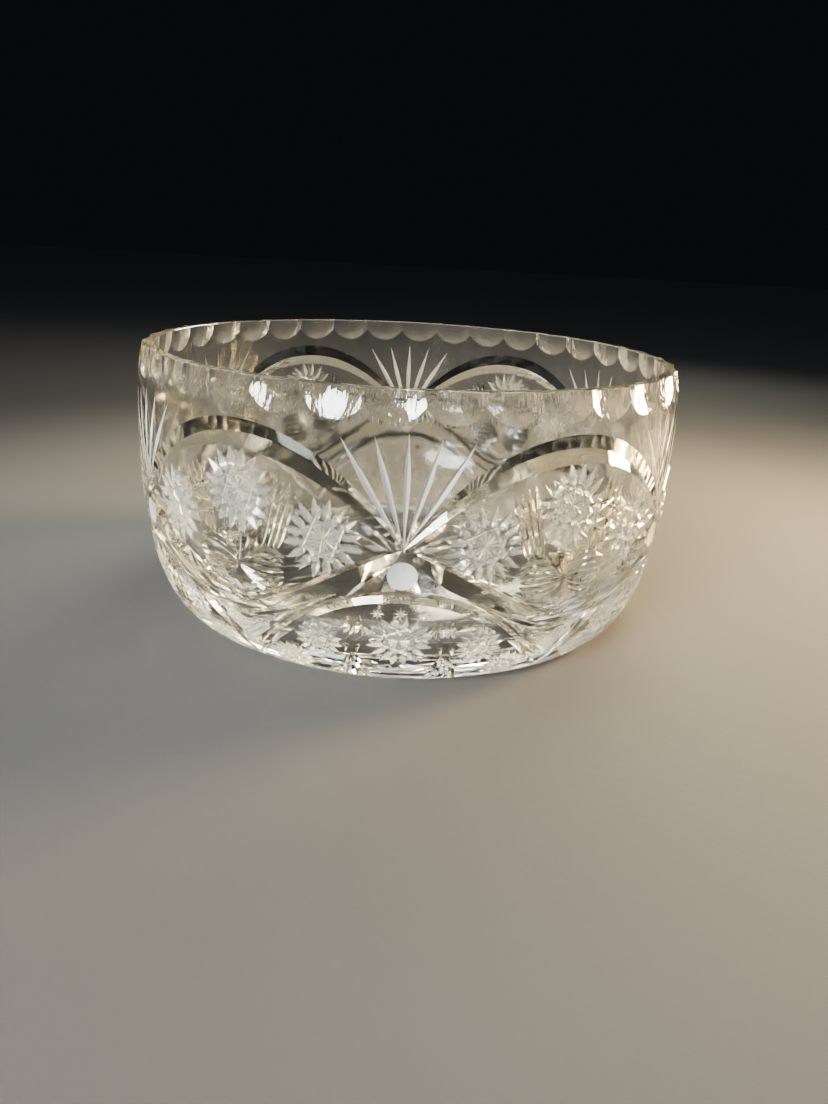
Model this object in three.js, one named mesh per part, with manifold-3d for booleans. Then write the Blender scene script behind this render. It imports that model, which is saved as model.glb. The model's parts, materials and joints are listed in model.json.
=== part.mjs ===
// A hand-cut crystal bowl, blown and ground from one piece of glass.
// Millimetres, +Z up. The origin is the centre of the foot, on the surface that the bowl stands on.
import * as THREE from 'three';
import { mergeVertices } from 'three/addons/utils/BufferGeometryUtils.js';
import Module from 'manifold-3d';

// Blank: the uncut shape, before any cutting.
const HEIGHT = 98.5;
const RIM_RADIUS = 100;
const BELLY_RADIUS = 102.3;
const BELLY_HEIGHT = 64;
const FOOT_RADIUS = 80;
const SHOULDER_POWER = 2.5; // superellipse power of the curve from belly to foot
const RIM_WALL = 5;
const INNER_BELLY_RADIUS = 96.2;
const INNER_BELLY_HEIGHT = 67;
const FLOOR_HEIGHT = 9.5;
const FLOOR_RADIUS = 66;
const BODY_SEGMENTS = 72;
const OUTER_ROWS = 10;
const INNER_ROWS = 6;

// The cut pattern repeats round the wall. Places on the wall are an angle from the middle of a
// repeat, in degrees, and a drop from the rim, in millimetres measured down the outer wall.
const REPEATS = 6;
const REPEAT_ANGLE = 360 / REPEATS;
const CROSSING_DROP = 46.2;
const CLEARANCE = 1.5; // how far cutters stand out of the glass

// Thumbprints ground into the outside of the rim by a round wheel.
const THUMBPRINTS = 36;
const THUMBPRINT_PHASE = 2.5; // degrees from the crossing to the nearest cusp between two prints
const THUMBPRINT_WHEEL = 27.5;
const THUMBPRINT_RADIUS = 10.3;
const THUMBPRINT_RISE = 1;

// Large arches, rising from each crossing to an apex under the rim.
const ARCH_APEX_DROP = 17;
const ARCH_POWER = 2.1;
const ARCH_WIDTH = 9;
const ARCH_DEPTH = 2.2;

// Lower grooves, from each crossing down to a point between two crossings.
const SWAG_DROP = 73;
const SWAG_POWER = 1.3;
const SWAG_WIDTH = 7;
const SWAG_DEPTH = 1.9;

// Foot arches, one under each crossing.
const FOOT_ARCH_DROP = 61.8;
const FOOT_ARCH_FALL = 23;
const FOOT_ARCH_ANGLE = 25;
const FOOT_ARCH_POWER = 2.2;
const FOOT_ARCH_WIDTH = 4;
const FOOT_ARCH_DEPTH = 1.3;

// Round kugel cut under each crossing.
const KUGEL_DROP = 54.6;
const KUGEL_RADIUS = 4.7;
const KUGEL_DEPTH = 0.8;

// Fan of rays over each crossing.
const FAN_ANGLES = [-11, -5.5, 0, 5.5, 11];
const FAN_TOP_DROP = 11;
const FAN_SIDE_FALL = 2.5;
const FAN_ROOT_DROP = 42.5;
const FAN_WIDTH = 2;
const FAN_DEPTH = 0.6;

// Star in the underside of the foot.
const FOOT_STAR_RAYS = 24;
const FOOT_STAR_INNER = 9;
const FOOT_STAR_OUTER = 56;
const FOOT_STAR_WIDTH = 6;
const FOOT_STAR_DEPTH = 1.6;

const GLASS = new THREE.MeshStandardMaterial({
  name: 'crystal', color: 0xe9eeec, roughness: 0.04, metalness: 0, transparent: true, opacity: 0.4,
});

const wasm = await Module();
wasm.setup();

const radians = THREE.MathUtils.degToRad;

/** Bulges from 0 at both ends of a cut to 1 in its middle. */
const lens = (t) => Math.sin(Math.PI * t);

/** Outer wall in the (radius, height) plane, from the rim at t = 0 down to the foot at t = 1. */
class WallProfile extends THREE.Curve {
  getPoint(t, target = new THREE.Vector2()) {
    const split = 0.3;
    if (t < split) {
      const rise = 1 - t / split;
      const radius = BELLY_RADIUS - (BELLY_RADIUS - RIM_RADIUS) * rise ** 2;
      return target.set(radius, BELLY_HEIGHT + (HEIGHT - BELLY_HEIGHT) * rise);
    }
    const turn = ((t - split) / (1 - split)) * (Math.PI / 2);
    const out = Math.max(Math.cos(turn), 0) ** (2 / SHOULDER_POWER);
    const down = Math.sin(turn) ** (2 / SHOULDER_POWER);
    return target.set(FOOT_RADIUS + (BELLY_RADIUS - FOOT_RADIUS) * out, BELLY_HEIGHT * (1 - down));
  }
}

const wall = new WallProfile();
wall.arcLengthDivisions = 2000;
const WALL_LENGTH = wall.getLength();

/** Point beside the outer wall, lifted off it along its normal. */
function onWall(angle, drop, lift = 0) {
  const along = THREE.MathUtils.clamp(drop / WALL_LENGTH, 0.0005, 0.9995);
  const point = wall.getPointAt(along);
  const ahead = wall.getPointAt(along + 0.0004);
  const tangent = ahead.sub(wall.getPointAt(along - 0.0004)).normalize();
  const radius = point.x - tangent.y * lift;
  const height = point.y + tangent.x * lift;
  const turn = radians(angle);
  return new THREE.Vector3(radius * Math.sin(turn), -radius * Math.cos(turn), height);
}

/** Closed solid of manifold-3d from a closed three.js geometry. */
function toSolid(source) {
  const plain = source.index ? source.toNonIndexed() : source.clone();
  plain.deleteAttribute('normal');
  plain.deleteAttribute('uv');
  const merged = mergeVertices(plain, 1e-4);
  const corners = merged.index.array;
  const kept = [];
  for (let i = 0; i < corners.length; i += 3) {
    const [a, b, c] = corners.subarray(i, i + 3);
    if (a !== b && b !== c && c !== a) kept.push(a, b, c);
  }
  return new wasm.Manifold(new wasm.Mesh({
    numProp: 3,
    vertProperties: new Float32Array(merged.attributes.position.array),
    triVerts: new Uint32Array(kept),
  }));
}

/** three.js geometry from a solid of manifold-3d. */
function toGeometry(solid) {
  const mesh = solid.getMesh();
  const geometry = new THREE.BufferGeometry();
  geometry.setAttribute('position', new THREE.BufferAttribute(mesh.vertProperties, mesh.numProp));
  geometry.setIndex(new THREE.BufferAttribute(mesh.triVerts, 1));
  geometry.computeVertexNormals();
  return geometry;
}

/** Closed three-sided bar through sections of [left, keel, right] points. */
function bar(sections) {
  const points = sections.flat();
  const faces = [0, 2, 1];
  for (let i = 0; i < sections.length - 1; i++) {
    for (let side = 0; side < 3; side++) {
      const a = 3 * i + side;
      const b = 3 * i + ((side + 1) % 3);
      faces.push(a, b, a + 3, b, b + 3, a + 3);
    }
  }
  const end = points.length - 3;
  faces.push(end, end + 1, end + 2);
  const geometry = new THREE.BufferGeometry().setFromPoints(points);
  geometry.setIndex(faces);
  return toSolid(geometry);
}

/** V-shaped cut along a path on the wall; place(t) gives [angle, drop], swell(t) its share of the size. */
function mitre(place, width, depth, steps, swell = lens) {
  const sections = [];
  for (let i = 0; i <= steps; i++) {
    const t = i / steps;
    const keel = onWall(...place(t), -depth * swell(t));
    const ahead = onWall(...place(t + 0.01));
    const heading = ahead.sub(onWall(...place(t - 0.01))).normalize();
    const top = onWall(...place(t), CLEARANCE);
    const outward = top.clone().sub(onWall(...place(t))).normalize();
    const across = heading.cross(outward);
    const half = (width / 2) * (swell(t) + CLEARANCE / depth);
    sections.push([
      top.clone().addScaledVector(across, half), keel, top.clone().addScaledVector(across, -half),
    ]);
  }
  return bar(sections);
}

/** Uncut blank: a lathe-turned bowl with a flat rim, a flat foot and a thick floor. */
function blank() {
  const outline = [new THREE.Vector2(0, 0)];
  for (let i = 0; i <= OUTER_ROWS; i++) outline.push(wall.getPoint(1 - i / OUTER_ROWS));
  const innerRim = RIM_RADIUS - RIM_WALL;
  for (const rise of [1, 0.5, 0]) {
    const radius = INNER_BELLY_RADIUS - (INNER_BELLY_RADIUS - innerRim) * rise ** 2;
    outline.push(new THREE.Vector2(radius, INNER_BELLY_HEIGHT + (HEIGHT - INNER_BELLY_HEIGHT) * rise));
  }
  for (let i = 1; i <= INNER_ROWS; i++) {
    const turn = (i / INNER_ROWS) * (Math.PI / 2);
    const out = Math.max(Math.cos(turn), 0) ** (2 / SHOULDER_POWER);
    const down = Math.sin(turn) ** (2 / SHOULDER_POWER);
    outline.push(new THREE.Vector2(
      FLOOR_RADIUS + (INNER_BELLY_RADIUS - FLOOR_RADIUS) * out,
      INNER_BELLY_HEIGHT + (FLOOR_HEIGHT - INNER_BELLY_HEIGHT) * down,
    ));
  }
  outline.push(new THREE.Vector2(0, FLOOR_HEIGHT));
  return toSolid(new THREE.LatheGeometry(outline, BODY_SEGMENTS).rotateX(Math.PI / 2));
}

/** Shallow round cut: a ball that bites a circle of the given radius out of the wall. */
function roundCut(angle, drop, radius, ball, segments) {
  const lift = Math.sqrt(ball ** 2 - radius ** 2);
  const geometry = new THREE.SphereGeometry(ball, segments, segments / 2);
  const centre = onWall(angle, Math.max(drop, 0), lift);
  centre.z -= Math.min(drop, 0);
  return toSolid(geometry.translate(centre.x, centre.y, centre.z));
}

/** Ring of thumbprints round the rim. */
function thumbprints() {
  const pitch = 360 / THUMBPRINTS;
  const cuts = [];
  for (let i = 0; i < THUMBPRINTS; i++) {
    const angle = THUMBPRINT_PHASE + (i + 0.5) * pitch;
    cuts.push(roundCut(angle, -THUMBPRINT_RISE, THUMBPRINT_RADIUS, THUMBPRINT_WHEEL, 20));
  }
  return cuts;
}

/** One arch from the crossing at the given angle to the next one. */
function arch(angle) {
  const fall = CROSSING_DROP - ARCH_APEX_DROP;
  const place = (t) => [
    angle + REPEAT_ANGLE * t, ARCH_APEX_DROP + fall * Math.abs(2 * t - 1) ** ARCH_POWER,
  ];
  return mitre(place, ARCH_WIDTH, ARCH_DEPTH, 16, (t) => lens(t) ** 0.6);
}

/** Lower groove from a crossing to the point below the almond, to the left or right. */
function swag(angle, side) {
  const fall = SWAG_DROP - CROSSING_DROP;
  const place = (t) => [
    angle + (side * t * REPEAT_ANGLE) / 2, SWAG_DROP - fall * Math.max(1 - t, 0) ** SWAG_POWER,
  ];
  return mitre(place, SWAG_WIDTH, SWAG_DEPTH, 8, (t) => lens(t ** 0.7) ** 0.7);
}

/** Foot arch under a crossing. */
function footArch(angle) {
  const place = (t) => {
    const offset = (2 * t - 1) * (REPEAT_ANGLE / 2);
    return [
      angle + offset,
      FOOT_ARCH_DROP + FOOT_ARCH_FALL * Math.abs(offset / FOOT_ARCH_ANGLE) ** FOOT_ARCH_POWER,
    ];
  };
  return mitre(place, FOOT_ARCH_WIDTH, FOOT_ARCH_DEPTH, 12, (t) => lens(t) ** 0.35);
}

/** Fan of rays that spread upward from a crossing. */
function fan(angle) {
  return FAN_ANGLES.map((spread) => {
    const share = spread / FAN_ANGLES[FAN_ANGLES.length - 1];
    const top = FAN_TOP_DROP + FAN_SIDE_FALL * Math.abs(share);
    const place = (t) => [angle + share + (spread - share) * t, FAN_ROOT_DROP + (top - FAN_ROOT_DROP) * t];
    return mitre(place, FAN_WIDTH, FAN_DEPTH, 3);
  });
}

/** Star in the underside of the foot, leaving a flat ring and a flat centre to rest on. */
function footStar() {
  const cuts = [];
  const steps = 2;
  for (let i = 0; i < FOOT_STAR_RAYS; i++) {
    const turn = (i + 0.5) * ((2 * Math.PI) / FOOT_STAR_RAYS);
    const outward = new THREE.Vector3(Math.cos(turn), Math.sin(turn), 0);
    const across = new THREE.Vector3(Math.sin(turn), -Math.cos(turn), 0);
    const sections = [];
    for (let j = 0; j <= steps; j++) {
      const t = j / steps;
      const middle = outward.clone().multiplyScalar(
        FOOT_STAR_INNER + (FOOT_STAR_OUTER - FOOT_STAR_INNER) * t,
      );
      const keel = middle.clone().setZ(FOOT_STAR_DEPTH * lens(t));
      middle.z = -CLEARANCE;
      const half = (FOOT_STAR_WIDTH / 2) * (lens(t) + CLEARANCE / FOOT_STAR_DEPTH);
      sections.push([
        middle.clone().addScaledVector(across, -half), keel, middle.clone().addScaledVector(across, half),
      ]);
    }
    cuts.push(bar(sections));
  }
  return cuts;
}

/** Bowl with every cut taken out of the blank. */
function glassBowl() {
  const cuts = [...thumbprints(), ...footStar()];
  for (let i = 0; i < REPEATS; i++) {
    const angle = i * REPEAT_ANGLE;
    const kugelBall = (KUGEL_RADIUS ** 2 + KUGEL_DEPTH ** 2) / (2 * KUGEL_DEPTH);
    cuts.push(arch(angle), swag(angle, 1), swag(angle, -1), footArch(angle), ...fan(angle));
    cuts.push(roundCut(angle, KUGEL_DROP, KUGEL_RADIUS, kugelBall, 20));
  }
  const solid = cuts.reduce((glass, cut) => glass.subtract(cut), blank());
  const bowl = new THREE.Mesh(toGeometry(solid), GLASS);
  bowl.name = 'crystal_bowl';
  return bowl;
}

const model = new THREE.Group();
model.add(glassBowl());

export default model;
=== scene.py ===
"""Hand-cut crystal bowl on a pale studio floor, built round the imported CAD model.

One 30 degree wedge of the outside is cut with V-shaped and round cutters, and its mirror images and
turns make the whole wall, because the cutting repeats six times and each repeat is symmetric.
Work is in millimetres until the mesh is finished; the scene is in metres.
"""
import json
import math

import bmesh
import bpy
import numpy as np
from mathutils import Matrix, Vector
from mathutils.kdtree import KDTree

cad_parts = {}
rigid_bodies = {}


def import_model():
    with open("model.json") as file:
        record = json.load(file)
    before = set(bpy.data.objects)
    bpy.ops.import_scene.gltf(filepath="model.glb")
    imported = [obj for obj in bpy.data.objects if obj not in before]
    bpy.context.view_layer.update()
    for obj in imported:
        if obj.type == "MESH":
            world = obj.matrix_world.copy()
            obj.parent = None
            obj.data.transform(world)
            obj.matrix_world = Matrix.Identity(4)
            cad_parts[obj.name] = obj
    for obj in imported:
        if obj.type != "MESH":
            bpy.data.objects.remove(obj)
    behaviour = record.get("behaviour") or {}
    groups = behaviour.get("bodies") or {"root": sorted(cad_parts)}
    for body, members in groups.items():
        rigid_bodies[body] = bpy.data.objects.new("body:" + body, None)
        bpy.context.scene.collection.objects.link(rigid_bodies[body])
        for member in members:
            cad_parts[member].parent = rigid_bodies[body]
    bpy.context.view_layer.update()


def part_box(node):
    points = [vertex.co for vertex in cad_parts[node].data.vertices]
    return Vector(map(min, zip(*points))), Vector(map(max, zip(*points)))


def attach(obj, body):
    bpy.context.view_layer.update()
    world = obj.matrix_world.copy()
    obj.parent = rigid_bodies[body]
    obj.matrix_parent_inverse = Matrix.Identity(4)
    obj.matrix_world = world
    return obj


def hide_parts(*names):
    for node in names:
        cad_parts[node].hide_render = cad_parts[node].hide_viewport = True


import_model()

NODE = "crystal_bowl"
MM = 0.001

# ---------------------------------------------------------------- sizes, in millimetres and degrees

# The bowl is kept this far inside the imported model's box, upward and outward.
GAP_UP, GAP_OUT = 0.002, 0.04

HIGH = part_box(NODE)[1]
HEIGHT = HIGH.z / MM - GAP_UP
BELLY_RADIUS = min(HIGH.x, HIGH.y) / MM - GAP_OUT
RIM_RADIUS = BELLY_RADIUS - 2.3
BELLY_HEIGHT = 0.65 * HEIGHT
FOOT_RADIUS = 80.0
SHOULDER_POWER = 2.5
RIM_WALL = 5.0
INNER_BELLY_RADIUS = 96.2
INNER_BELLY_HEIGHT = 67.0
FLOOR_HEIGHT = 9.5
FLOOR_RADIUS = 66.0
FOOT_BUTTON = 4.0

# The wedge that repeats, and the slab of glass that is cut for it: how far the slab reaches past the
# wedge, the spacing of its columns and rows, its thickness, and how far a cutter stands out of it.
WEDGE = 30.0
MARGIN = 1.5
COLUMN = 1.0
ROW = 2.6
SLAB = 4.5
CLEAR = 0.3

# Rim thumbprints: their number and turn, the radii of the wheel and of the outline, and how far above
# the rim their centre lies. The rim band ends at a drop below all of them.
PRINTS = 36
PRINT_PHASE = 2.5
PRINT_WHEEL = 27.5
PRINT_RADIUS = 10.3
PRINT_RISE = 1.0
BAND_DROP = 10.8
PRINT_ROWS = (1, 0.82, 0.64, 0.48, 0.32, 0.16)

# Width of the narrow bevels along the rim, and its share of a thumbprint and of the inner wall.
ARRIS = 0.3
ARRIS_IN_PRINT = ARRIS / 9
ARRIS_INSIDE = ARRIS / 30

# Finishes, in the order in which finishes() makes their materials.
WALL, POLISHED, SATIN, MATT, INSIDE, DOT, PRINT = range(7)
# What a face of the cut slab comes from.
FROM_WALL, FROM_WASTE, FIRST_CUTTER = 0, 1, 2

SHARP_ANGLE = math.radians(14)
# A facet takes the normal of its cutter's side only where their cosine is above this.
SAME_FACET = 0.8
# Distances within which points lie on a wedge side, and within which they snap to it and join.
ON_SIDE, SNAP = 2e-3, 4e-3
# Distances within which open edges join: first where they match, then where they nearly do.
WELDS = (2e-4, 6e-3)


# ---------------------------------------------------------------- outer wall

def superellipse(turn, outer, inner, top, bottom):
    """Radius and height of a quarter superellipse from (outer, top) to (inner, bottom)."""
    out = np.maximum(np.cos(turn), 0) ** (2 / SHOULDER_POWER)
    down = np.sin(turn) ** (2 / SHOULDER_POWER)
    return inner + (outer - inner) * out, top + (bottom - top) * down


def wall_table():
    """Fine samples of the outside: drop from the rim, radius, height and outward normal."""
    rise = np.linspace(1, 0, 800)
    radius = BELLY_RADIUS - (BELLY_RADIUS - RIM_RADIUS) * rise ** 2
    height = BELLY_HEIGHT + (HEIGHT - BELLY_HEIGHT) * rise
    turn = np.linspace(0, math.pi / 2, 4000)[1:]
    low_radius, low_height = superellipse(turn, BELLY_RADIUS, FOOT_RADIUS, BELLY_HEIGHT, 0)
    flat = np.linspace(FOOT_RADIUS, FOOT_BUTTON, 400)[1:]
    radius = np.concatenate([radius, low_radius, flat])
    height = np.concatenate([height, low_height, np.zeros_like(flat)])
    drop = np.concatenate([[0], np.cumsum(np.hypot(np.diff(radius), np.diff(height)))])
    slope_r = np.gradient(radius, drop)
    slope_z = np.gradient(height, drop)
    length = np.hypot(slope_r, slope_z)
    return np.stack([drop, radius, height, -slope_z / length, slope_r / length])


TABLE = wall_table()
WALL_LENGTH = float(TABLE[0][np.argmax(TABLE[2] <= 0)])
FOOT_END = float(TABLE[0][-1])


def wall_at(drop):
    """Radius, height and normal of the outside at each drop."""
    return [np.interp(drop, TABLE[0], row) for row in TABLE[1:]]


def on_wall(places, lift=0.0):
    """Points beside the outside for (angle, drop) places, lifted along the normal."""
    angle, drop = np.radians(places[:, 0]), places[:, 1]
    radius, height, out, up = wall_at(drop)
    reach = radius + out * lift
    return np.stack([reach * np.sin(angle), -reach * np.cos(angle), height + up * lift], 1)


def local(angle, drop, offsets):
    """(angle, drop) places of flat offsets in millimetres, x to the right and y down the wall."""
    offsets = np.asarray(offsets, float).reshape(-1, 2)
    drops = drop + offsets[:, 1]
    radius = wall_at(drops)[0]
    return np.stack([angle + np.degrees(offsets[:, 0] / radius), drops], 1)


# ---------------------------------------------------------------- cutters

CUTTERS = []
SEEN = set()


class Cutter:
    """Closed mesh that removes glass, with what is needed to shade the facets it leaves."""

    def __init__(self, points, faces, finish):
        self.points, self.faces, self.finish = points, faces, finish
        self.keel = self.across = self.flanks = self.centre = None


def lens(t, power=1.0):
    """Swells from 0 at both ends to 1 in the middle."""
    return np.sin(np.pi * np.clip(t, 0, 1)) ** power


def boat(t, length, ramp):
    """Rises to 1 over a ramp at each end and stays there."""
    return np.clip(np.minimum(t, 1 - t) * length / ramp, 0, 1)


def mitre(places, width, depth, swell, finish=POLISHED, lean=0.0):
    """V-shaped cut along (angle, drop) places, and its mirror images in the wedge's two sides."""
    places = np.asarray(places, float)
    for axis in (None, 0.0, WEDGE):
        image = places.copy()
        if axis is not None:
            image[:, 0] = 2 * axis - image[:, 0]
        if image[:, 0].max() > -MARGIN and image[:, 0].min() < WEDGE + MARGIN:
            add_bar(image, width, depth, swell, finish, lean if axis is None else -lean)


def is_new(places, width):
    """False for a cut that is already there, as its own mirror image is."""
    ends = sorted([tuple(np.round(places[0], 2)), tuple(np.round(places[-1], 2))])
    key = (tuple(ends), tuple(np.round(places[len(places) // 2], 1)), round(width, 2))
    if key in SEEN:
        return False
    SEEN.add(key)
    return True


def flank(keel, edge, outward):
    """Outward normals of the facet between a keel line and an edge line."""
    facing = np.cross(np.gradient((keel + edge) / 2, axis=0), edge - keel)
    facing *= np.sign(np.sum(facing * outward, axis=1))[:, None]
    return facing / np.linalg.norm(facing, axis=1)[:, None]


def add_bar(places, width, depth, swell, finish=POLISHED, lean=0.0):
    """Three-sided cutter; swell is its share of width and depth at each place."""
    if not is_new(places, width):
        return
    path, top = on_wall(places), on_wall(places, CLEAR)
    across = np.cross(np.gradient(path, axis=0), top - path)
    across /= np.linalg.norm(across, axis=1)[:, None]
    half = (width / 2 * (swell + CLEAR / depth))[:, None]
    keel = on_wall(places, -depth * swell) + across * half * lean
    edges = top + across * half, top - across * half
    points = np.stack([edges[0], keel, edges[1]], 1).reshape(-1, 3)
    faces = [(0, 2, 1)]
    for i in range(len(places) - 1):
        for side in range(3):
            a, b = 3 * i + side, 3 * i + (side + 1) % 3
            faces.append((a, b, b + 3, a + 3))
    end = len(points) - 3
    faces.append((end, end + 1, end + 2))
    cutter = Cutter(points, faces, finish)
    cutter.keel, cutter.across = keel, across
    cutter.flanks = [flank(keel, edge, top - path) for edge in edges]
    CUTTERS.append(cutter)


def straight(angle, drop, start, end, width, depth, power=1.0, steps=4, finish=POLISHED):
    """Lens-shaped mitre between two flat offsets from a place on the wall."""
    t = np.linspace(0, 1, steps + 1)
    offsets = np.outer(1 - t, start) + np.outer(t, end)
    mitre(local(angle, drop, offsets), width, depth, lens(t, power), finish)


def groove(angle, drop, start, end, width, depth, ramp=1.0, steps=3, finish=POLISHED):
    """Mitre of constant depth with short run-outs at its ends."""
    length = math.dist(start, end)
    inner = np.linspace(ramp / length, 1 - ramp / length, max(steps - 1, 2))
    t = np.concatenate([[0], inner, [1]])
    offsets = np.outer(1 - t, start) + np.outer(t, end)
    mitre(local(angle, drop, offsets), width, depth, boat(t, length, ramp), finish)


def round_cut(angle, drop, radius, depth, finish, rings=3, sides=28):
    """Shallow dish of circular outline."""
    ball = (radius ** 2 + depth ** 2) / (2 * depth)
    reach = math.sqrt(ball ** 2 - (ball - depth - CLEAR) ** 2)
    place = np.array([[angle, drop]], float)
    points = [on_wall(place, -depth)[0]]
    for ring in range(1, rings + 1):
        spread = reach * ring / rings
        lift = ball - depth - math.sqrt(ball ** 2 - spread ** 2)
        turn = np.arange(sides) * 2 * math.pi / sides
        offsets = np.stack([spread * np.cos(turn), spread * np.sin(turn)], 1)
        points.extend(on_wall(local(angle, drop, offsets), lift))
    faces = [(0, 1 + i, 1 + (i + 1) % sides) for i in range(sides)]
    for ring in range(rings - 1):
        base = 1 + ring * sides
        for i in range(sides):
            j = (i + 1) % sides
            faces.append((base + i, base + sides + i, base + sides + j, base + j))
    faces.append(tuple(1 + rings * sides - 1 - i for i in range(sides)))
    cutter = Cutter(np.array(points), faces, finish)
    cutter.centre = on_wall(place, ball - depth)[0]
    CUTTERS.append(cutter)


def facet_facing(cutter, point, normal):
    """Smooth normal of a cut facet at a point of it."""
    if cutter.centre is not None:
        facing = cutter.centre - point
    else:
        start, step = cutter.keel[:-1], np.diff(cutter.keel, axis=0)
        share = np.sum((point - start) * step, axis=1) / np.sum(step ** 2, axis=1)
        share = np.clip(share, 0, 1)
        gap = np.sum((start + step * share[:, None] - point) ** 2, axis=1)
        k = int(np.argmin(gap))
        side = cutter.flanks[0 if normal @ cutter.across[k] < 0 else 1]
        facing = side[k] * (1 - share[k]) + side[k + 1] * share[k]
    facing = facing / np.linalg.norm(facing)
    return facing if facing @ normal > SAME_FACET else normal


# ---------------------------------------------------------------- the cut pattern

CROSSING = 46.2
ARCH_APEX = 17.0
SWAG_LOW = 73.0
FOOT_ARCH_TOP = 61.8


def arch_drop(angle):
    """Drop of the arch's middle line, highest in the middle of the almond."""
    return ARCH_APEX + (CROSSING - ARCH_APEX) * np.abs(1 - angle / WEDGE) ** 2.1


def swag_drop(angle):
    """Drop of the swag's middle line, lowest in the middle of the almond."""
    return SWAG_LOW - (SWAG_LOW - CROSSING) * np.abs(1 - angle / WEDGE) ** 1.3


def foot_arch_drop(angle):
    """Drop of the middle line of the arch under the crossing, down to the foot."""
    return FOOT_ARCH_TOP + 23 * np.abs(angle / 25) ** 2.2


def follow(curve, start, end, steps, shift=0.0):
    """(angle, drop) places along one of the pattern's curves."""
    angle = np.linspace(start, end, steps + 1)
    return np.stack([angle, curve(angle) + shift], 1)


def cut_arches():
    """Large polished cuts: the arch and the swag that cross under each fan, and the foot arch."""
    places = follow(arch_drop, 0, WEDGE + 3, 22)
    add_bar(places, width=9.0, depth=2.2, swell=lens(places[:, 0] / (2 * WEDGE), 0.6))
    places = follow(swag_drop, 0, WEDGE + 3, 20)
    share = np.abs(places[:, 0]) / WEDGE
    swell = np.interp(share, [0, 0.08, 0.3, 0.62, 0.85, 1.2], [0, 0.45, 1, 0.75, 0.5, 0.5])
    add_bar(places, width=7.6, depth=1.9, swell=swell, lean=-0.35)
    places = follow(foot_arch_drop, -3, WEDGE, 20)
    swell = np.interp(places[:, 0], [0, 22, 30], [1, 0.9, 0.35])
    add_bar(places, width=4.2, depth=1.3, swell=swell)


def cut_borders():
    """Thin lines that run beside the large cuts."""
    for curve, start, end, shift in (
        (swag_drop, 17, 33, -4.2), (swag_drop, 12, 33, 3.6), (foot_arch_drop, 11, 29, -3.4),
    ):
        places = follow(curve, start, end, 10, shift)
        share = (places[:, 0] - start) / (end - start)
        swell = np.minimum(1, share / 0.2) if end > WEDGE else lens(share, 0.5)
        add_bar(places, width=1.6, depth=0.6, swell=swell)


def cut_ray_fan():
    """Frosted rays that spread upward from the crossing."""
    widest, root, tip, tip_fall = 11, 43.2, 11.6, 2.4
    t = np.linspace(0, 1, 6)
    swell = np.interp(t, [0, 0.3, 0.6, 1], [0.15, 0.75, 1, 0])
    for spread in (0, widest / 2, widest):
        share = spread / widest
        angle = share + (spread - share) * t
        drop = root + (tip + tip_fall * share - root) * t
        mitre(np.stack([angle, drop], 1), width=2.1, depth=0.75, swell=swell, finish=MATT)


def cut_kugel():
    """Round frosted dot under the crossing."""
    round_cut(angle=0, drop=54.7, radius=4.7, depth=0.7, finish=DOT)


def around(reach, turn):
    """Flat offset at a distance, turned clockwise from straight up, in degrees."""
    return reach * math.sin(math.radians(turn)), -reach * math.cos(math.radians(turn))


def cut_star(angle, drop, reach, width=1.9, depth=0.75):
    """Hobstar: chords of an eight-pointed star, rays crossing in its middle and spikes round it."""
    for k in range(8):
        corner, across = around(reach, 45 * k), around(reach, 45 * k + 135)
        straight(angle, drop, corner, across, width, depth, 0.4, 5, SATIN)
        turn = 22.5 * k + 11.25
        straight(angle, drop, around(reach * 0.72, turn), around(-reach * 0.72, turn),
                 width * 0.95, depth, 0.8, 4, SATIN)
    t = np.array([0, 0.15, 0.4, 0.75, 1])
    swell = np.array([0, 0.8, 1, 0.5, 0])
    for k in range(16):
        turn = 22.5 * k + 11.25
        spike = np.outer(1 - t, around(reach * 0.5, turn)) + np.outer(t, around(reach * 1.12, turn))
        mitre(local(angle, drop, spike), width * 1.9, depth * 1.45, swell, SATIN)


def cut_almond():
    """Everything inside the almond between the arches, up to its middle."""
    cut_star(angle=WEDGE, drop=34.2, reach=12.3)
    cut_star(angle=13.8, drop=45.2, reach=11.9, width=1.5)
    mitre([(2.6, 46.3), (4.4, 45.9), (6.4, 45.6)], 2.2, 0.7, np.array([0, 1, 0]), SATIN)
    for share in (0.1, 0.37, 0.63, 0.9):
        top = np.array([17.6 + 4.6 * share, 30.4 - 4.4 * share])
        bottom = np.array([21.7 + 3.6 * share, 51.6 - 0.8 * share])
        t = np.linspace(0, 1, 6)
        mitre(np.outer(1 - t, top) + np.outer(t, bottom), 2.2, 0.85, boat(t, 25, 3))
    cut_side_leaf()
    cut_top_fan()


def cut_side_leaf():
    """Half-oval leaf of ribs that gather at the hub."""
    t = np.linspace(0, 1, 8)
    for i in range(7):
        start, middle, end = 53.2 + 1.6 * i, 51.0 + 2.3 * i, 56.6 + 0.5 * i
        control = 2 * middle - (start + end) / 2
        drop = start * (1 - t) ** 2 + 2 * control * t * (1 - t) + end * t ** 2
        swell = np.interp(t, [0, 0.08, 0.5, 0.8, 1], [0, 0.85, 1, 0.6, 0.1])
        mitre(np.stack([20.6 + 9.0 * t, drop], 1), 2.35, 0.85, swell)


def cut_top_fan():
    """Ribs that rise from the hub and open upward."""
    t = np.linspace(0, 1, 7)
    for spread, top in ((0.0, 46.6), (2.2, 47.0), (4.2, 48.4)):
        angle = WEDGE - spread * (0.12 + 0.88 * t)
        drop = 57.0 + (top - 57.0) * t
        swell = np.interp(t, [0, 0.25, 0.7, 0.92, 1], [0.12, 0.5, 1, 0.85, 0])
        mitre(np.stack([angle, drop], 1), 3.6, 1.1, swell)


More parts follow.
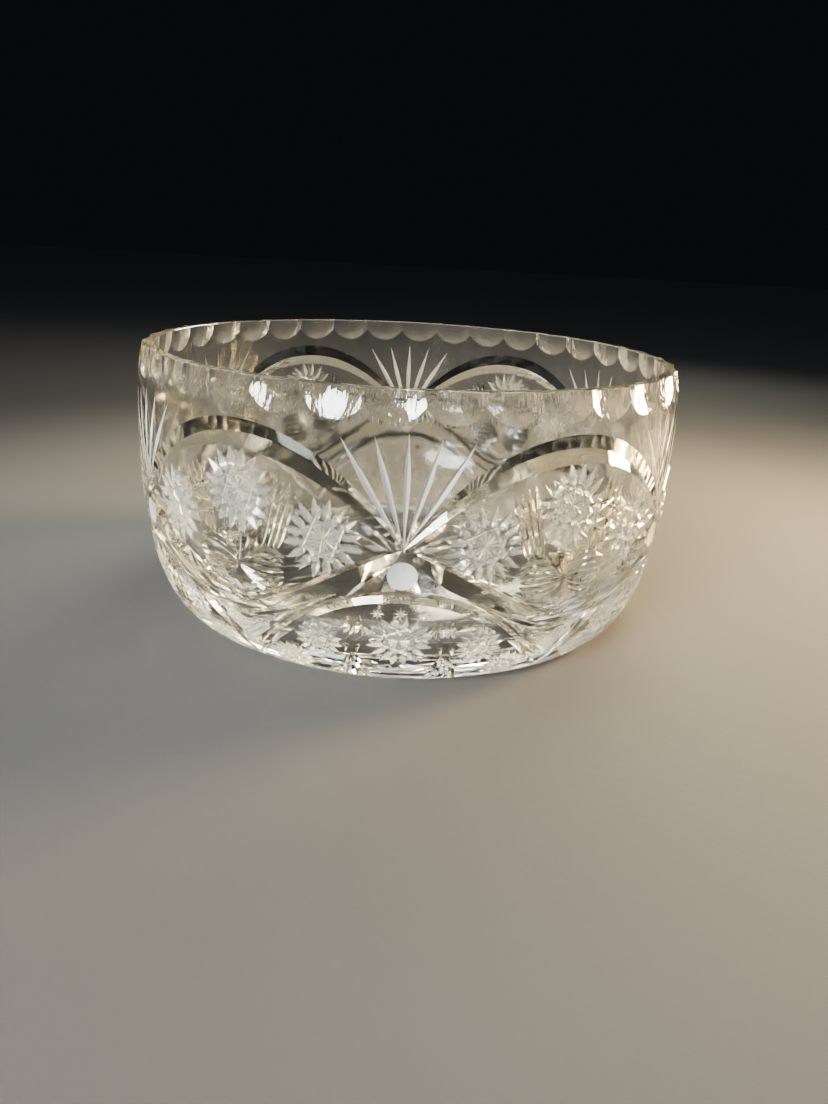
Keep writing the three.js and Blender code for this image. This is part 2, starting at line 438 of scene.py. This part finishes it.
def within(places, region):
    """Whether each place lies between the region's two curves and within its angles."""
    start, end, upper, lower = region
    angle, drop = places[:, 0], places[:, 1]
    return (angle >= start) & (angle <= end) & (drop >= upper(angle)) & (drop <= lower(angle))


def cut_diamonds(centre, size, region, spacing, slope, depth):
    """Crossing families of fine parallel mitres that fill a region with small pyramids."""
    count = int(size / spacing)
    t = np.linspace(-size, size, 161)
    for direction in (1, -1):
        heading = np.array([math.cos(slope), direction * math.sin(slope)])
        sideways = np.array([-heading[1], heading[0]])
        for k in range(-count, count + 1):
            offsets = np.outer(t, heading) + (k + 0.5) * spacing * sideways
            kept = np.flatnonzero(within(local(*centre, offsets), region))
            if len(kept) > 5:
                start, end = tuple(offsets[kept[0]]), tuple(offsets[kept[-1]])
                groove(*centre, start, end, spacing * 1.08, depth, spacing * 0.6, 3, SATIN)


def below_swag(angle):
    """Upper edge of the crosshatched field under the almond."""
    return swag_drop(angle) + 5.2


def above_foot_arch(angle):
    """Lower edge of the crosshatched field under the almond."""
    return np.minimum(foot_arch_drop(np.minimum(angle, 60 - angle)) - 5.6, 92.0)


def below_leaf(angle):
    """Upper edge of the crosshatched field in the almond's lower point."""
    return 66.0 - 0.9 * np.abs(angle - WEDGE)


def above_swag(angle):
    """Lower edge of the crosshatched field in the almond's lower point."""
    return swag_drop(angle) - 5.6


def cut_bands():
    """Fine crosshatched fields under the almond and in its lower point."""
    under = (16.5, 44.0, below_swag, above_foot_arch)
    cut_diamonds((WEDGE, 82), 30, under, spacing=1.9, slope=math.radians(38), depth=0.6)
    lower_point = (23.0, 37.0, below_leaf, above_swag)
    cut_diamonds((WEDGE, 66), 12, lower_point, spacing=1.6, slope=math.radians(40), depth=0.5)


def cut_foot_panel():
    """Star, small stars and fans under the foot arch."""
    cut_star(angle=0, drop=78.3, reach=9.6, width=1.35, depth=0.55)
    t = np.linspace(0, 1, 6)
    for offset in (7.0, 9.2):
        places = np.stack([offset + 0.8 * t, 67.6 + offset * 0.2 + 15 * t], 1)
        mitre(places, width=2.0, depth=0.75, swell=boat(t, 15, 2.5))
    for angle, drop, reach in ((0, 67.6, 2.4), (4.0, 67.9, 2.3)):
        for turn in range(0, 180, 45):
            straight(angle, drop, around(reach, turn), around(-reach, turn),
                     width=1.2, depth=0.5, power=0.7, steps=2, finish=SATIN)
    cut_star(angle=15.0, drop=80.6, reach=7.2, width=1.2, depth=0.45)
    for spread in (-2, -1, 0, 1, 2):
        straight(8.6, 84.5, (0.5 * spread, 0), (2.6 * spread, 14.5), width=2.7, depth=0.95, power=0.6)
    cut_star(angle=21.0, drop=91.0, reach=6.4, width=1.2, depth=0.45)


def cut_foot_star():
    """Rays of the star under the foot, between two distances from its middle."""
    near, far = 9, 58
    t = np.linspace(0, 1, 7)
    drop = WALL_LENGTH + FOOT_RADIUS - (near + (far - near) * (1 - t))
    for angle in (7.5, 22.5):
        mitre(np.stack([np.full_like(t, angle), drop], 1), width=6.4, depth=2.4, swell=lens(t))


def cut_pattern():
    cut_arches()
    cut_borders()
    cut_ray_fan()
    cut_kugel()
    cut_almond()
    cut_bands()
    cut_foot_panel()
    cut_foot_star()


# ---------------------------------------------------------------- mesh building

def mesh_from(name, points, faces, sources, slots):
    """Mesh whose faces carry what they come from as their material number."""
    mesh = bpy.data.meshes.new(name)
    mesh.from_pydata([tuple(p) for p in points], [], faces)
    for _ in range(slots):
        mesh.materials.append(None)
    numbers = np.broadcast_to(sources, len(mesh.polygons)).astype(np.int32)
    mesh.polygons.foreach_set("material_index", numbers)
    mesh.update()
    return mesh


def slab_mesh():
    """Closed slab under one wedge of the outside, a little wider than the wedge."""
    columns = np.arange(-MARGIN, WEDGE + MARGIN + 0.01, COLUMN)
    wall_rows = round((WALL_LENGTH - BAND_DROP) / ROW)
    drops = np.concatenate([
        np.linspace(BAND_DROP, WALL_LENGTH, wall_rows + 1),
        np.linspace(WALL_LENGTH, FOOT_END, 6)[1:],
    ])
    grid = np.array([[c, d] for d in drops for c in columns])
    outer, inner = on_wall(grid), on_wall(grid, -SLAB)
    wide, tall = len(columns), len(drops)
    faces, kinds = [], []
    for layer in (0, 1):
        for j in range(tall - 1):
            for i in range(wide - 1):
                a = layer * wide * tall + j * wide + i
                quad = (a, a + wide, a + wide + 1, a + 1)
                faces.append(quad if layer == 0 else quad[::-1])
                kinds.append(FROM_WALL if layer == 0 else FROM_WASTE)
    border = list(range(wide))
    border += [j * wide + wide - 1 for j in range(1, tall)]
    border += [(tall - 1) * wide + i for i in range(wide - 2, -1, -1)]
    border += [j * wide for j in range(tall - 2, 0, -1)]
    shift = wide * tall
    for a, b in zip(border, border[1:] + border[:1]):
        faces.append((a, b, b + shift, a + shift))
        kinds.append(FROM_WASTE)
    slots = FIRST_CUTTER + len(CUTTERS)
    return mesh_from("slab", np.concatenate([outer, inner]), faces, np.array(kinds), slots)


def cut_wedge():
    """Slab under one wedge of the outside with all the cuts in it."""
    cut_pattern()
    slots = FIRST_CUTTER + len(CUTTERS)
    tray = bpy.data.collections.new("cutters")
    bpy.context.scene.collection.children.link(tray)
    for i, cutter in enumerate(CUTTERS):
        mesh = mesh_from("cutter", cutter.points, cutter.faces, FIRST_CUTTER + i, slots)
        tray.objects.link(bpy.data.objects.new("cutter", mesh))
    slab = bpy.data.objects.new("slab", slab_mesh())
    bpy.context.scene.collection.objects.link(slab)
    cut = slab.modifiers.new("cuts", "BOOLEAN")
    cut.operation = "DIFFERENCE"
    cut.operand_type = "COLLECTION"
    cut.collection = tray
    cut.solver = "MANIFOLD"
    cut.material_mode = "INDEX"
    graph = bpy.context.evaluated_depsgraph_get()
    mesh = bpy.data.meshes.new_from_object(slab.evaluated_get(graph), depsgraph=graph)
    for item in list(tray.objects):
        bpy.data.objects.remove(item)
    bpy.data.collections.remove(tray)
    bpy.data.objects.remove(slab)
    return mesh


def wedge_sides():
    """Outward normals of the two planes through the axis that bound the wedge."""
    turn = math.radians(WEDGE)
    return Vector((-1, 0, 0)), Vector((math.cos(turn), math.sin(turn), 0))


def crosses(face, normal):
    """Whether a face has corners on both sides of the plane through the axis with this normal."""
    sides = [v.co.dot(normal) for v in face.verts]
    return min(sides) < 0 < max(sides)


def trim_wedge(mesh):
    """Removes the slab's waste faces and cuts the wedge exactly at its two sides."""
    bm = bmesh.new()
    bm.from_mesh(mesh)
    bmesh.ops.delete(bm, geom=[f for f in bm.faces if f.material_index == FROM_WASTE], context="FACES")
    for normal in wedge_sides():
        # Bisecting can drop faces of many corners, so the ones in its way are split first.
        bmesh.ops.triangulate(bm, faces=[f for f in bm.faces if len(f.verts) > 3 and crosses(f, normal)])
        bmesh.ops.bisect_plane(
            bm, geom=bm.verts[:] + bm.edges[:] + bm.faces[:], dist=ON_SIDE, plane_co=(0, 0, 0),
            plane_no=normal, clear_outer=True,
        )
        edge = [v for v in bm.verts if abs(v.co.dot(normal)) < SNAP]
        for vert in edge:
            vert.co -= normal * vert.co.dot(normal)
        bmesh.ops.remove_doubles(bm, verts=edge, dist=SNAP)
        bmesh.ops.delete(bm, geom=[e for e in bm.edges if not e.link_faces], context="EDGES")
    return bm


def wedge_surface(bm):
    """Points, faces, finishes and corner normals of the trimmed wedge."""
    bm.verts.index_update()
    bm.normal_update()
    points = np.array([v.co for v in bm.verts])
    on_blank = wall_normals(points)
    faces, kinds, facings = [], [], []
    for face in bm.faces:
        corners = [v.index for v in face.verts]
        source = face.material_index - FIRST_CUTTER
        faces.append(corners)
        if source < 0:
            kinds.append(WALL)
            facings.append(on_blank[corners])
        else:
            normal = np.array(face.normal)
            kinds.append(CUTTERS[source].finish)
            facings.append(np.array([facet_facing(CUTTERS[source], points[v], normal) for v in corners]))
    return points, faces, kinds, facings


def turned_and_mirrored(vectors, repeat, mirror):
    """Vectors mirrored in the plane x = 0 where mirror is -1, then turned to a repeat of the pattern."""
    turn = math.radians(2 * WEDGE * repeat)
    x, y = vectors[:, 0] * mirror, vectors[:, 1]
    return np.stack([
        x * math.cos(turn) - y * math.sin(turn), x * math.sin(turn) + y * math.cos(turn), vectors[:, 2],
    ], 1)


def wedge_images(points, faces, kinds, facings):
    """The twelve images of the wedge as one open skin."""
    all_points, all_faces, all_kinds, all_facings = [], [], [], []
    for repeat in range(6):
        for mirror in (1, -1):
            start = len(all_points) * len(points)
            all_points.append(turned_and_mirrored(points, repeat, mirror))
            for face, facing in zip(faces, facings):
                image = turned_and_mirrored(facing, repeat, mirror)
                all_faces.append([start + v for v in face][::mirror])
                all_facings.append(image[::mirror])
            all_kinds.extend(kinds)
    return np.concatenate(all_points), all_faces, all_kinds, all_facings


def print_side(angle):
    """Distance along the rim from the middle of the nearest thumbprint, in millimetres."""
    pitch = 360 / PRINTS
    return np.radians((angle - PRINT_PHASE) % pitch - pitch / 2) * RIM_RADIUS


def print_depth(angle, drop):
    """Depth of the thumbprint at a place near the rim."""
    centre = math.sqrt(PRINT_WHEEL ** 2 - PRINT_RADIUS ** 2)
    return np.sqrt(PRINT_WHEEL ** 2 - print_side(angle) ** 2 - (drop + PRINT_RISE) ** 2) - centre


def print_edge(angle):
    """Drop at which the thumbprint over an angle runs out on the wall."""
    return np.sqrt(PRINT_RADIUS ** 2 - print_side(angle) ** 2) - PRINT_RISE


def ring_angles():
    """Angles of the ring of vertices at the top of the cut wall."""
    repeat = np.concatenate([[0], np.arange(0.5, WEDGE), [WEDGE], np.arange(WEDGE + 0.5, 2 * WEDGE)])
    return np.concatenate([repeat + 2 * WEDGE * k for k in range(6)])


def band_rows(angle):
    """Rings from the cut wall up over the thumbprints, the rim and down the inside."""
    edge = print_edge(angle)
    rows = []
    for share in (1, 0.5):
        radius, height = wall_at(edge + (BAND_DROP - edge) * share)[:2]
        rows.append((radius, height, WALL))
    for share in (*PRINT_ROWS, ARRIS_IN_PRINT):
        radius, height = wall_at(edge * share)[:2]
        rows.append((radius - np.maximum(print_depth(angle, edge * share), 0), height, PRINT))
    level = np.full_like(angle, HEIGHT)
    rows.append((rows[-1][0] - ARRIS, level, POLISHED))
    inner_rim = RIM_RADIUS - RIM_WALL
    rows.append((np.full_like(angle, inner_rim + ARRIS), level, POLISHED))
    for rise in (1 - ARRIS_INSIDE, 0.75, 0.5, 0.25, 0):
        radius = INNER_BELLY_RADIUS - (INNER_BELLY_RADIUS - inner_rim) * rise ** 2
        height = INNER_BELLY_HEIGHT + (HEIGHT - INNER_BELLY_HEIGHT) * rise
        rows.append((np.full_like(angle, radius), np.full_like(angle, height), INSIDE))
    for turn in np.linspace(0, math.pi / 2, 25)[1:]:
        radius, height = superellipse(
            turn, INNER_BELLY_RADIUS, FLOOR_RADIUS, INNER_BELLY_HEIGHT, FLOOR_HEIGHT)
        rows.append((np.full_like(angle, radius), np.full_like(angle, height), INSIDE))
    for radius in (40, 14, 2):
        rows.append((np.full_like(angle, radius), np.full_like(angle, FLOOR_HEIGHT), INSIDE))
    return rows


def turned_parts():
    """Rim band, inside and the small plain middle of the foot; half the columns serve inside."""
    angle = ring_angles()
    rows = band_rows(angle)
    turn = np.radians(angle)
    points, faces, kinds, rings = [], [], [], []
    for radius, height, kind in rows:
        step = 2 if kind == INSIDE else 1
        ring = np.stack([radius * np.sin(turn), -radius * np.cos(turn), height], 1)[::step]
        rings.append(list(range(len(points), len(points) + len(ring))))
        points.extend(ring)
    for j, (low, high) in enumerate(zip(rings, rings[1:])):
        step = len(low) // len(high)
        for i in range(len(high)):
            below = [low[(i * step + n) % len(low)] for n in range(step + 1)]
            faces.append(below + [high[(i + 1) % len(high)], high[i]])
            kinds.append(rows[j + 1][2])
    faces.append(rings[-1])
    kinds.append(INSIDE)
    faces.append(list(range(len(points), len(points) + len(angle)))[::-1])
    kinds.append(WALL)
    button = [FOOT_BUTTON * np.sin(turn), -FOOT_BUTTON * np.cos(turn), np.zeros(len(angle))]
    points.extend(np.stack(button, 1))
    return np.array(points), faces, kinds


def wall_normals(points):
    """Exact outward normals of the uncut outside at points on it."""
    radius = np.hypot(points[:, 0], points[:, 1])
    nearest = [WALL_TREE.find((r, z, 0))[1] for r, z in zip(radius, points[:, 2])]
    out, up = TABLE[3][nearest], TABLE[4][nearest]
    radius = np.maximum(radius, 1e-6)
    return np.stack([out * points[:, 0] / radius, out * points[:, 1] / radius, up], 1)


def wall_tree():
    """Finds the sample of the outside nearest to a radius and height."""
    tree = KDTree(TABLE.shape[1])
    for i, (radius, height) in enumerate(zip(TABLE[1], TABLE[2])):
        tree.insert((radius, height, 0), i)
    tree.balance()
    return tree


WALL_TREE = wall_tree()


def close_gaps(bm):
    """Fills what the trimming left open along the wedge sides."""
    gaps = [e for e in bm.edges if e.is_boundary]
    for face in bmesh.ops.holes_fill(bm, edges=gaps, sides=0)["faces"]:
        around_it = [f.material_index for e in face.edges for f in e.link_faces if f is not face]
        face.material_index = max(set(around_it), key=around_it.count)


def weld(mesh):
    """Joins the twelve images, then the turned parts, into one closed skin."""
    bm = bmesh.new()
    bm.from_mesh(mesh)
    for reach in WELDS:
        edge = list({v for e in bm.edges if e.is_boundary for v in e.verts})
        bmesh.ops.remove_doubles(bm, verts=edge, dist=reach)
    close_gaps(bm)
    bmesh.ops.delete(bm, geom=[e for e in bm.edges if not e.link_faces], context="EDGES")
    bm.to_mesh(mesh)
    print("bowl:", sum(len(f.verts) - 2 for f in bm.faces), "triangles,",
          sum(1 for e in bm.edges if not e.is_manifold), "edges not shared by two faces,",
          round(bm.calc_volume()), "mm3")
    bm.free()


def shading_normals(mesh):
    """Corner normals: smooth between sharp edges, exact wherever a corner carries its facing."""
    mesh.polygons.foreach_set("use_smooth", np.ones(len(mesh.polygons), bool))
    mesh.set_sharp_from_angle(angle=SHARP_ANGLE)
    smooth = np.zeros(len(mesh.loops) * 3, np.float32)
    exact = np.zeros(len(mesh.loops) * 3, np.float32)
    mesh.corner_normals.foreach_get("vector", smooth)
    mesh.attributes["facing"].data.foreach_get("vector", exact)
    mesh.attributes.remove(mesh.attributes["facing"])
    smooth, exact = smooth.reshape(-1, 3), exact.reshape(-1, 3)
    known = np.linalg.norm(exact, axis=1) > 0.5
    smooth[known] = exact[known]
    return smooth


def bowl_mesh():
    """The whole bowl as one closed skin, in metres."""
    wedge = trim_wedge(cut_wedge())
    points, faces, kinds, facings = wedge_images(*wedge_surface(wedge))
    wedge.free()
    more_points, more_faces, more_kinds = turned_parts()
    for face, kind in zip(more_faces, more_kinds):
        facings.append(wall_normals(more_points[face]) if kind == WALL else np.zeros((len(face), 3)))
    faces += [[v + len(points) for v in f] for f in more_faces]
    points = np.concatenate([points, more_points])
    mesh = mesh_from("cut_bowl", points, faces, np.array(kinds + more_kinds), 0)
    stored = mesh.attributes.new("facing", "FLOAT_VECTOR", "CORNER")
    stored.data.foreach_set("vector", np.concatenate(facings).astype(np.float32).ravel())
    weld(mesh)
    normals = shading_normals(mesh)
    mesh.transform(Matrix.Scale(MM, 4))
    mesh.normals_split_custom_set([tuple(n) for n in normals])
    return mesh


# ---------------------------------------------------------------- materials

# Refractive index of lead crystal, and its tint where it is whole and where it is cut.
CRYSTAL_IOR = 1.545
UNCUT = (0.985, 0.987, 0.975, 1)
CUT = (0.986, 0.978, 0.87, 1)


def shader(name):
    """A new material with what is needed to build it: its links, nodes and surface."""
    material = bpy.data.materials.new(name)
    material.use_nodes = True
    nodes = material.node_tree.nodes
    return material, material.node_tree.links, nodes, nodes["Principled BSDF"]


def noise_bump(nodes, links, surface, scale, strength, distance, stretch=(1, 1, 1)):
    """Bump from fine noise in object space."""
    place = nodes.new("ShaderNodeTexCoord")
    mapping = nodes.new("ShaderNodeMapping")
    mapping.inputs["Scale"].default_value = stretch
    noise = nodes.new("ShaderNodeTexNoise")
    noise.inputs["Scale"].default_value = scale
    noise.inputs["Detail"].default_value = 3
    bump = nodes.new("ShaderNodeBump")
    bump.inputs["Strength"].default_value = strength
    bump.inputs["Distance"].default_value = distance
    links.new(place.outputs["Object"], mapping.inputs["Vector"])
    links.new(mapping.outputs["Vector"], noise.inputs["Vector"])
    links.new(noise.outputs["Fac"], bump.inputs["Height"])
    links.new(bump.outputs["Normal"], surface.inputs["Normal"])
    return noise


def ramp_to(nodes, links, source, low, high, target):
    """Sends a 0 to 1 texture value to a shader input as low to high."""
    spread = nodes.new("ShaderNodeMapRange")
    spread.inputs["To Min"].default_value = low
    spread.inputs["To Max"].default_value = high
    links.new(source, spread.inputs["Value"])
    links.new(spread.outputs["Result"], target)


def glass(name, tint, roughness, ripple, grain=90, clearness=1.0, stretch=(1, 1, 1), swell=0.0004):
    """Lead crystal; ripple, grain, stretch and swell shape the waviness that polishing leaves on it."""
    material, links, nodes, surface = shader(name)
    surface.inputs["Base Color"].default_value = tint
    surface.inputs["Transmission Weight"].default_value = clearness
    surface.inputs["IOR"].default_value = CRYSTAL_IOR
    noise = noise_bump(nodes, links, surface, grain, ripple, swell, stretch)
    ramp_to(nodes, links, noise.outputs["Fac"], roughness[0], roughness[1], surface.inputs["Roughness"])
    return material


def frosted(name, clearness, tone):
    """Crystal cut and left grey by the stone wheel."""
    material, links, nodes, surface = shader(name)
    surface.inputs["Base Color"].default_value = (tone, tone, tone, 1)
    surface.inputs["Transmission Weight"].default_value = clearness
    surface.inputs["IOR"].default_value = CRYSTAL_IOR
    noise = noise_bump(nodes, links, surface, scale=1400, strength=0.35, distance=0.0001)
    ramp_to(nodes, links, noise.outputs["Fac"], 0.4, 0.65, surface.inputs["Roughness"])
    return material


def finishes():
    """The materials, in the order of the finish numbers."""
    return (
        glass("crystal", UNCUT, roughness=(0.0, 0.012), ripple=0.2),
        glass("crystal_cut", CUT, roughness=(0.0, 0.02), ripple=0.16, grain=130),
        glass("crystal_satin", CUT, roughness=(0.13, 0.23), ripple=0.08, grain=200, clearness=0.79),
        frosted("matt_cut", clearness=0.7, tone=0.88),
        glass("crystal_inside", UNCUT, roughness=(0.06, 0.09), ripple=0.2, grain=55),
        frosted("dot", clearness=0.35, tone=0.8),
        glass("crystal_print", UNCUT, roughness=(0.0, 0.01), ripple=0.6, grain=260,
              stretch=(1, 1, 0.1), swell=0.001),
    )


# ---------------------------------------------------------------- studio

# Colour of the dim surroundings; the floor also gives it off as a faint painted glow.
SURROUND_AND_FLOOR_GLOW = (0.013, 0.0135, 0.015, 1)
FLOOR_HALF = 4.0
# The floor lies this far under the foot, so that glass and floor share no surface.
FLOOR_GAP = 0.0003
# Distance from the middle over which the floor's colour darkens: the reach of the painted pool of light.
PAINTED_POOL_REACH = 0.5

AIMED_AT = (0, 0, 0.04)
# Place, size, watts, colour and spread in degrees of each softbox.
SOFTBOXES = {
    "key": ((-0.25, 0.05, 0.75), (1.1, 0.9), 2.4, (0.95, 0.98, 1.0), 180),
    "front": ((-0.45, -0.85, 0.5), (0.52, 0.34), 7.0, (0.94, 0.97, 1.0), 120),
    "warm": ((0.65, 0.22, 0.22), (0.26, 0.3), 5.0, (1.0, 0.73, 0.38), 100),
    "back": ((0.4, 0.78, 0.6), (0.8, 0.35), 5.5, (1.0, 0.94, 0.7), 120),
}


def softbox(name, position, size, power, colour, spread):
    """Soft elliptical light towards the bowl that the camera doesn't see."""
    data = bpy.data.lights.new(name, "AREA")
    data.shape = "ELLIPSE"
    data.size, data.size_y = size
    data.energy = power
    data.color = colour
    data.spread = math.radians(spread)
    thing = bpy.data.objects.new(name, data)
    bpy.context.scene.collection.objects.link(thing)
    thing.location = position
    thing.rotation_euler = (Vector(AIMED_AT) - Vector(position)).to_track_quat("-Z", "Y").to_euler()
    thing.visible_camera = False


def painted_pool_floor():
    """Pale paper whose colour darkens with distance from the middle of the floor, a painted pool of light,
    and which gives off a faint painted glow.
    """
    material, links, nodes, surface = shader("painted_pool_floor")
    surface.inputs["Roughness"].default_value = 0.9
    # The floor gives off the surroundings' colour: a faint painted glow.
    surface.inputs["Emission Color"].default_value = SURROUND_AND_FLOOR_GLOW
    surface.inputs["Emission Strength"].default_value = 1.0
    noise_bump(nodes, links, surface, scale=400, strength=0.1, distance=0.0005)
    place = nodes.new("ShaderNodeTexCoord")
    distance = nodes.new("ShaderNodeVectorMath")
    distance.operation = "LENGTH"
    painted_falloff = nodes.new("ShaderNodeMapRange")
    painted_falloff.interpolation_type = "LINEAR"
    painted_falloff.inputs["From Min"].default_value = 0.0
    painted_falloff.inputs["From Max"].default_value = PAINTED_POOL_REACH
    # Colour ramp by distance: a painted pool of light, pale in the middle and dark far out.
    tone = nodes.new("ShaderNodeValToRGB")
    tone.color_ramp.interpolation = "EASE"
    stops = tone.color_ramp.elements
    stops[0].position, stops[0].color = 0.16, (0.14, 0.138, 0.134, 1)
    stops[1].position, stops[1].color = 0.92, (0.03, 0.03, 0.033, 1)
    for position, level in ((0.22, 0.13), (0.4, 0.12)):
        stops.new(position).color = (level, level * 0.99, level * 0.965, 1)
    links.new(place.outputs["Object"], distance.inputs[0])
    links.new(distance.outputs["Value"], painted_falloff.inputs["Value"])
    links.new(painted_falloff.outputs["Result"], tone.inputs["Fac"])
    links.new(tone.outputs["Color"], surface.inputs["Base Color"])
    return material


def studio():
    """Pale floor with a painted pool of light in its colour and soft lamps over it, with dim surroundings.
    """
    floor = bpy.data.meshes.new("floor")
    corners = [(x * FLOOR_HALF, y * FLOOR_HALF, -FLOOR_GAP) for x, y in ((-1, -1), (1, -1), (1, 1), (-1, 1))]
    floor.from_pydata(corners, [], [(0, 1, 2, 3)])
    ground = bpy.data.objects.new("floor", floor)
    bpy.context.scene.collection.objects.link(ground)
    floor.materials.append(painted_pool_floor())
    for name, settings in SOFTBOXES.items():
        softbox(name, *settings)
    world = bpy.data.worlds.new("surround")
    bpy.context.scene.world = world
    world.use_nodes = True
    world.node_tree.nodes["Background"].inputs["Color"].default_value = SURROUND_AND_FLOOR_GLOW


def camera():
    """Camera at the photograph's viewing angle, in rim radii from the middle of the rim."""
    rim = RIM_RADIUS * MM
    side, yaw, pitch, roll = math.radians(-0.4), 0.0235, 0.3607, 0.0555
    distance, rise = 3.3048 * rim, 0.3967 * rim
    level = math.cos(pitch)
    forward = Vector((math.sin(yaw) * level, math.cos(yaw) * level, -math.sin(pitch)))
    right = Vector((math.cos(yaw), -math.sin(yaw), 0))
    upward = right.cross(forward)
    tilted = right * math.cos(roll) + upward * math.sin(roll)
    data = bpy.data.cameras.new("camera")
    data.lens = 27.24
    data.clip_start = 0.01
    thing = bpy.data.objects.new("camera", data)
    bpy.context.scene.collection.objects.link(thing)
    axes = Matrix((tilted, tilted.cross(forward), -forward)).transposed().to_4x4()
    place = Vector((distance * math.sin(side), -distance * math.cos(side), HEIGHT * MM + rise))
    thing.matrix_world = Matrix.Translation(place) @ axes
    bpy.context.scene.camera = thing


# ---------------------------------------------------------------- making

camera()
studio()
bpy.context.scene.view_settings.look = "AgX - High Contrast"
cycles = bpy.context.scene.cycles
cycles.max_bounces = 24
cycles.glossy_bounces = 12
cycles.transmission_bounces = 24
bowl = bpy.data.objects.new("bowl", bowl_mesh())
bpy.context.scene.collection.objects.link(bowl)
for material in finishes():
    bowl.data.materials.append(material)
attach(bowl, "root")
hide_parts(NODE)
